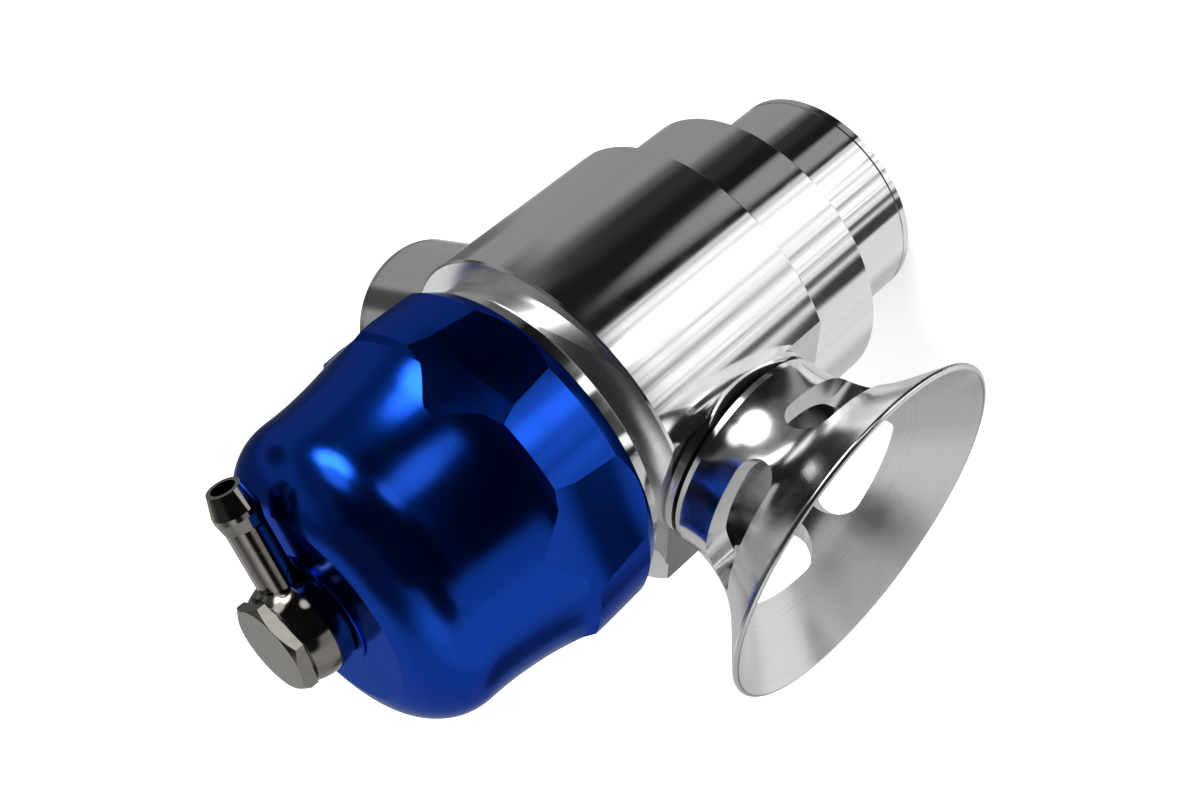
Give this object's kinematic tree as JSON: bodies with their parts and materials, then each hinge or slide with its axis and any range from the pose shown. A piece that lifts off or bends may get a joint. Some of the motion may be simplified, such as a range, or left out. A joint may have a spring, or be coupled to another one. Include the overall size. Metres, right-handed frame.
{
  "type": "blow off valve",
  "caption": "Turbo blow off valve with polished body, vent trumpet, recirculation tail, blue scalloped adjusting cap and vacuum barb.",
  "frame": {"origin": "centre of the inlet tail's end face", "axes": "+Z along the valve's axis from the inlet tail to the adjusting cap, +X along the trumpet"},
  "size_m": [0.1028, 0.0691, 0.1237],
  "materials": {
    "polished_aluminium": "polished, machined",
    "turned_aluminium": "turned",
    "blue_anodised": "deep blue anodised, satin gloss",
    "black_chrome": "dark mirror plating",
    "black_rubber": "smooth",
    "white_ptfe": "satin",
    "spring_steel": "drawn wire",
    "zinc_steel": "zinc plated"
  },
  "bodies": {
    "valve_body": {"body": "polished_aluminium", "inlet_tail": "polished_aluminium", "inlet_seal_ring": "black_rubber", "recirc_tail": "polished_aluminium", "recirc_seal_ring": "black_rubber", "trumpet": "polished_aluminium", "trumpet_seal_ring": "black_rubber", "cap_seal_ring": "black_rubber"},
    "piston_assembly": {"piston": "turned_aluminium", "piston_guide_rings": "white_ptfe", "piston_seal": "black_rubber", "seal_plate": "turned_aluminium", "seal_screw": "zinc_steel"},
    "spring_carrier": {"spring_seat": "turned_aluminium", "thrust_washer": "white_ptfe", "spring": "spring_steel"},
    "cap_assembly": {"cap": "blue_anodised", "fitting_bolt": "black_chrome", "fitting_washers": "turned_aluminium"},
    "vacuum_barb": {"barb_fitting": "black_chrome"}
  },
  "joints": [
    {"name": "piston_lift", "type": "slide", "parent": "valve_body", "child": "piston_assembly", "axis": [0, 0, 1], "range_m": [0, 0.014], "stiffness_N_per_m": 1500, "springref_m": -0.012, "deforming": ["spring"]},
    {"name": "cap_feed", "type": "slide", "parent": "valve_body", "child": "spring_carrier", "axis": [0, 0, 1], "range_m": [-0.0015, 0.0015]},
    {"name": "cap_turn", "type": "hinge", "parent": "spring_carrier", "child": "cap_assembly", "pos_m": [0, 0, 0.107], "axis": [0, 0, 1], "range_deg": [-360, 360]},
    {"name": "fitting_turn", "type": "hinge", "parent": "cap_assembly", "child": "vacuum_barb", "pos_m": [0, 0, 0.11766], "axis": [0, 0, 1], "continuous": true}
  ],
  "couplings": [
    {"joint": "cap_feed", "follows": "cap_turn", "m_per_rad": 0.00023873}
  ]
}
